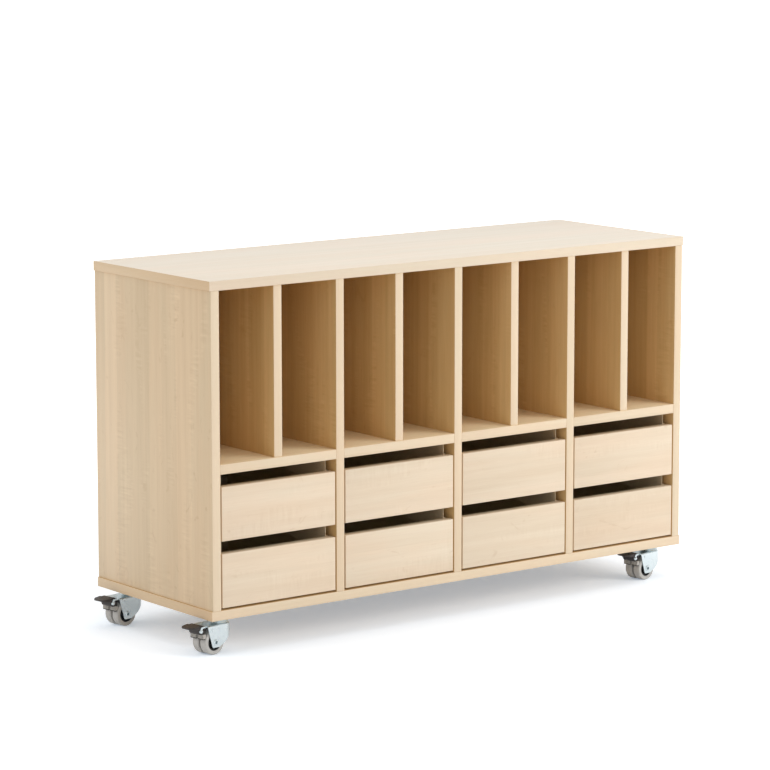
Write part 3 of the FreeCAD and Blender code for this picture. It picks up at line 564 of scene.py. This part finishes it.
for number in range(1, 9):
    copy_of_solids(f"drawer_tray_{number}", f"drawer_base_{number}", every_solid, "tray",
                   METAL_ROUNDING, grain_axis=Y)
    sides = f"drawer_sides_{number}"
    copy_of_solids(f"drawer_walls_{number}", sides, is_steel, "coat", 0)
    copy_of_solids(f"drawer_rollers_{number}", sides, is_disc, "roller", METAL_ROUNDING)
copy_of_solids("rails", "drawer_rails", is_steel, "coat", 0)
copy_of_solids("rail_rollers", "drawer_rails", is_disc, "roller", METAL_ROUNDING)
copy_of_solids("screws", "mounting_screws", every_solid, "zinc_screw", 0)
copy_of_solids("top_plates", "caster_plates", every_solid, "zinc", METAL_ROUNDING)


# Casters

# Sizes in millimetres. Heights along the axle are measured from the middle of the caster.
TRAIL = 27.0
RING_STEPS = 96
CORNER_STEPS = 6

WHEEL_RADIUS = 25.0
WHEEL_LOW = 2.3
WHEEL_HIGH = 18.8
SHOULDER = 2.6
SHOULDER_END = 8
CROWN_HALF = 2.5
# Where the tyre meets the hub: distance out from the hub, and in from the side of the wheel.
BEAD = ((0.0, 0.6), (0.5, 0.1), (2.0, 0.0))
LIP = ((3.2, 0.0), (2.4, 0.35), (0.8, 0.35), (0.0, 0.9))

HUB_RADIUS = 17.0
HUB_LOW_INSET = 1.0
HUB_HIGH_INSET = 0.9
HUB_LIP = 0.3
RIM_RADIUS = 14.8
RIM_DRAFT = 0.2
BOSS_RADIUS = 7.0
BOSS_LOW = 0.4
BOSS_HIGH = 19.0
AXLE_BORE = 4.05
WEB_LOW_INSET = 9.0
WEB_HIGH_INSET = 5.3
WEB_FILLET = 0.8
WEB_RISE = 0.7
EDGE_BREAK = 0.4

RIB_COUNT = 6
RIB_MIDDLE = 10.9
RIB_LENGTH = 8.2
RIB_DEPTH = 3.6
RIB_WIDTH = 1.3

PEDAL_ROOT = 64.0
PEDAL_TIP = 88.3
PEDAL_TIP_SHARE = 0.85
PAD_TOP = 50.0
# Height of the painted shade band at the foot of the brake pads
SHADE_BAND = 1.8


def tyre_profile():
    """Tread with rounded shoulders, a low crown and a lip where it grips the hub."""
    low, high, r = WHEEL_LOW, WHEEL_HIGH, WHEEL_RADIUS
    middle = (low + high) / 2
    points = [(HUB_RADIUS + out, low + inset) for out, inset in BEAD]
    points += arc((r - SHOULDER, low + SHOULDER), SHOULDER, -90, -SHOULDER_END, CORNER_STEPS)
    points += [(r, middle - CROWN_HALF), (r, middle + CROWN_HALF)]
    points += arc((r - SHOULDER, high - SHOULDER), SHOULDER, SHOULDER_END, 90, CORNER_STEPS)
    points += [(HUB_RADIUS + out, high - inset) for out, inset in LIP]
    return points


def hub_profile():
    """Rim, dished web and boss, open towards both faces."""
    low, high = WHEEL_LOW + HUB_LOW_INSET, WHEEL_HIGH - HUB_HIGH_INSET
    web_low, web_high = WHEEL_HIGH - WEB_LOW_INSET, WHEEL_HIGH - WEB_HIGH_INSET
    web_rim = RIM_RADIUS - RIM_DRAFT
    return [(AXLE_BORE, BOSS_LOW), (BOSS_RADIUS - EDGE_BREAK, BOSS_LOW),
            (BOSS_RADIUS, BOSS_LOW + EDGE_BREAK), (BOSS_RADIUS, web_low + WEB_RISE),
            (BOSS_RADIUS + WEB_FILLET, web_low), (web_rim - WEB_FILLET, web_low),
            (web_rim, web_low - WEB_FILLET), (RIM_RADIUS, low + EDGE_BREAK),
            (RIM_RADIUS + EDGE_BREAK, low), (HUB_RADIUS, low),
            (HUB_RADIUS, high - HUB_LIP), (HUB_RADIUS - HUB_LIP, high),
            (RIM_RADIUS + EDGE_BREAK, high), (RIM_RADIUS, high - EDGE_BREAK),
            (web_rim, web_high + WEB_RISE), (web_rim - WEB_FILLET, web_high),
            (BOSS_RADIUS + WEB_FILLET, web_high), (BOSS_RADIUS, web_high + WEB_RISE),
            (BOSS_RADIUS, BOSS_HIGH - EDGE_BREAK), (BOSS_RADIUS - EDGE_BREAK, BOSS_HIGH),
            (AXLE_BORE, BOSS_HIGH)]


def add_ribs(mesh, place):
    """Flat ribs between boss and rim on the outer face of the hub."""
    shape = bmesh.new()
    shape.from_mesh(mesh)
    for index in range(RIB_COUNT):
        rib = bmesh.ops.create_cube(shape, size=1.0)["verts"]
        turn = Matrix.Rotation(2 * math.pi * index / RIB_COUNT, 4, "Y")
        for vertex in rib:
            local = Vector((RIB_MIDDLE + vertex.co.x * RIB_LENGTH,
                            WHEEL_HIGH - RIB_DEPTH + vertex.co.y * RIB_DEPTH,
                            vertex.co.z * RIB_WIDTH))
            vertex.co = place @ (turn @ (local * MM))
    shape.to_mesh(mesh)
    shape.free()


def taper_pedal(mesh, heading):
    """Narrows the pedal towards its tip, as seen from above."""
    back = heading.inverted()
    for vertex in mesh.vertices:
        local = back @ vertex.co
        share = min(max((-local.x / MM - PEDAL_ROOT) / (PEDAL_TIP - PEDAL_ROOT), 0.0), 1.0)
        local.y *= 1 - (1 - PEDAL_TIP_SHARE) * share
        vertex.co = heading @ local


def add_painted_shade_band(mesh):
    """Paints shade along the lowest part of the brake pads, where they meet the tyre, by giving it the second,
    dark material.
    """
    shape = bmesh.new()
    shape.from_mesh(mesh)
    height = min(vertex.co.z for vertex in shape.verts) + SHADE_BAND * MM
    bmesh.ops.bisect_plane(shape, geom=shape.verts[:] + shape.edges[:] + shape.faces[:],
                           plane_co=(0, 0, height), plane_no=(0, 0, 1))
    for face in shape.faces:
        face.material_index = 1 if face.calc_center_median().z < height else 0
    shape.to_mesh(mesh)
    shape.free()


def build_caster(number):
    heading = heading_matrix(number)
    axle = heading @ Matrix.Translation((-TRAIL * MM, 0, WHEEL_RADIUS * MM))
    for side, turned in (("near", math.pi), ("far", 0.0)):
        node = f"caster_wheel_{number}_{side}"
        place = axle @ Matrix.Rotation(turned, 4, "Z")
        tyre = lathe(f"tyre_{number}_{side}", tyre_profile(), RING_STEPS, place)
        smooth(tyre)
        finish_piece(f"tyre_{number}_{side}", tyre, body_of[node], [node], ["tread"])
        hub = lathe(f"hub_{number}_{side}", hub_profile(), RING_STEPS, place)
        add_ribs(hub, place)
        smooth(hub)
        finish_piece(f"hub_{number}_{side}", hub, body_of[node], [node], ["hub"])
    copy_of_solids(f"fork_{number}", f"caster_fork_{number}", every_solid, "zinc",
                   METAL_ROUNDING)
    lever = f"brake_lever_{number}"
    pedal = copy_of_solids(f"pedal_{number}", lever, lambda low, high: high.z > PAD_TOP * MM, "lever",
                           PLASTIC_ROUNDING)
    taper_pedal(pedal.data, heading)
    pads = copy_of_solids(f"brake_pads_{number}", lever, lambda low, high: high.z < PAD_TOP * MM, "pad",
                          METAL_ROUNDING)
    # The second material paints shade at the foot of the pads
    pads.data.materials.append(MATERIALS["painted_shade_band"])
    add_painted_shade_band(pads.data)


for number in range(1, 5):
    build_caster(number)


# Floor, light and camera

FLOOR_SIZE = 30.0
AMBIENT = 0.69
NEAR_GLOW = (0.192, 0.242, 0.297, 1.0)
FAR_GLOW = (0.75, 0.75, 0.75, 1.0)
GLOW_CENTRE = (-0.05, -0.05, 0.0)
GLOW_START = 0.35
GLOW_END = 1.7
VIEW_DISTANCE = 100.0

# Name, place, target, width, height and power of each softbox.
SOFTBOXES = [
    ("overhead", (0.0, -0.2, 3.2), (0, 0, 0.3), 3.0, 2.4, 15.0),
    ("front_right", (2.6, -3.6, 1.9), (0, 0, 0.35), 2.0, 2.0, 75.0),
    ("left_rear", (-3.0, 1.4, 1.6), (-0.6, 0, 0.3), 2.0, 1.6, 19.0),
]


def grey(value):
    return (value, value, value, 1.0)


def white_for_eye(tree):
    """1 for rays that show the backdrop: those of the camera, of gloss and of clear stuff."""
    path = tree.nodes.new("ShaderNodeLightPath")
    seen = math_node(tree, "MAXIMUM", path.outputs["Is Camera Ray"], path.outputs["Is Glossy Ray"])
    return math_node(tree, "MAXIMUM", seen, path.outputs["Is Transmission Ray"])


def build_floor():
    """Pale floor that keeps the shadow and brightens to white away from the unit."""
    mesh = bpy.data.meshes.new("floor")
    shape = bmesh.new()
    bmesh.ops.create_grid(shape, x_segments=2, y_segments=2, size=FLOOR_SIZE)
    shape.to_mesh(mesh)
    shape.free()
    floor = bpy.data.objects.new("floor", mesh)
    bpy.context.scene.collection.objects.link(floor)
    material = bpy.data.materials.new("studio_floor")
    material.use_nodes = True
    tree = material.node_tree
    tree.nodes.clear()
    output = tree.nodes.new("ShaderNodeOutputMaterial")
    matt = tree.nodes.new("ShaderNodeBsdfDiffuse")
    speckle = noise(tree, object_vector(tree), 40, 2.0, 0.5)
    pale = mix_colour(tree, speckle, grey(0.92), grey(0.96))
    clear = mix_colour(tree, speckle, grey(0.98), grey(1.0))
    tree.links.new(mix_colour(tree, white_for_eye(tree), pale, clear), matt.inputs["Color"])
    glow = tree.nodes.new("ShaderNodeEmission")
    distance = tree.nodes.new("ShaderNodeVectorMath")
    distance.operation = "DISTANCE"
    tree.links.new(object_vector(tree), distance.inputs[0])
    distance.inputs[1].default_value = GLOW_CENTRE
    growing = spread(tree, distance.outputs["Value"], GLOW_START, GLOW_END)
    tree.links.new(mix_colour(tree, growing, NEAR_GLOW, FAR_GLOW), glow.inputs["Color"])
    tree.links.new(white_for_eye(tree), glow.inputs["Strength"])
    both = tree.nodes.new("ShaderNodeAddShader")
    tree.links.new(matt.outputs["BSDF"], both.inputs[0])
    tree.links.new(glow.outputs["Emission"], both.inputs[1])
    tree.links.new(both.outputs["Shader"], output.inputs["Surface"])
    mesh.materials.append(material)


def build_world():
    """White to the eye, and a plain ambient light to everything else."""
    world = bpy.data.worlds.new("studio")
    bpy.context.scene.world = world
    world.use_nodes = True
    tree = world.node_tree
    tree.nodes.clear()
    output = tree.nodes.new("ShaderNodeOutputWorld")
    backdrop = tree.nodes.new("ShaderNodeBackground")
    backdrop.inputs["Color"].default_value = grey(1.0)
    strength = math_node(tree, "MULTIPLY_ADD", white_for_eye(tree), 1.0 - AMBIENT, AMBIENT)
    tree.links.new(strength, backdrop.inputs["Strength"])
    tree.links.new(backdrop.outputs["Background"], output.inputs["Surface"])


def softbox(name, place, target, width, height, power):
    lamp = bpy.data.lights.new(name, "AREA")
    lamp.shape = "RECTANGLE"
    lamp.size = width
    lamp.size_y = height
    lamp.energy = power
    holder = bpy.data.objects.new(name, lamp)
    bpy.context.scene.collection.objects.link(holder)
    holder.location = place
    holder.rotation_euler = (Vector(target) - Vector(place)).to_track_quat("-Z", "Y").to_euler()
    holder.visible_glossy = False


def build_camera():
    """The photograph's own view: level is the camera's right before the roll."""
    forward = Vector((math.sin(CAMERA_YAW) * math.cos(CAMERA_PITCH),
                      math.cos(CAMERA_YAW) * math.cos(CAMERA_PITCH), -math.sin(CAMERA_PITCH)))
    level = Vector((math.cos(CAMERA_YAW), -math.sin(CAMERA_YAW), 0))
    down = forward.cross(level)
    right = level * math.cos(CAMERA_ROLL) + down * math.sin(CAMERA_ROLL)
    up = -(down * math.cos(CAMERA_ROLL) - level * math.sin(CAMERA_ROLL))
    data = bpy.data.cameras.new("camera")
    data.sensor_width = SENSOR_WIDTH
    data.lens = FOCAL_PIXELS / IMAGE_PIXELS * SENSOR_WIDTH
    camera = bpy.data.objects.new("camera", data)
    bpy.context.scene.collection.objects.link(camera)
    turn = Matrix((right, up, -forward)).transposed().to_4x4()
    camera.matrix_world = Matrix.Translation(CAMERA_PLACE) @ turn
    data.clip_end = VIEW_DISTANCE
    bpy.context.scene.camera = camera


build_floor()
build_world()
for settings in SOFTBOXES:
    softbox(*settings)
build_camera()
bpy.context.scene.view_settings.view_transform = "Standard"
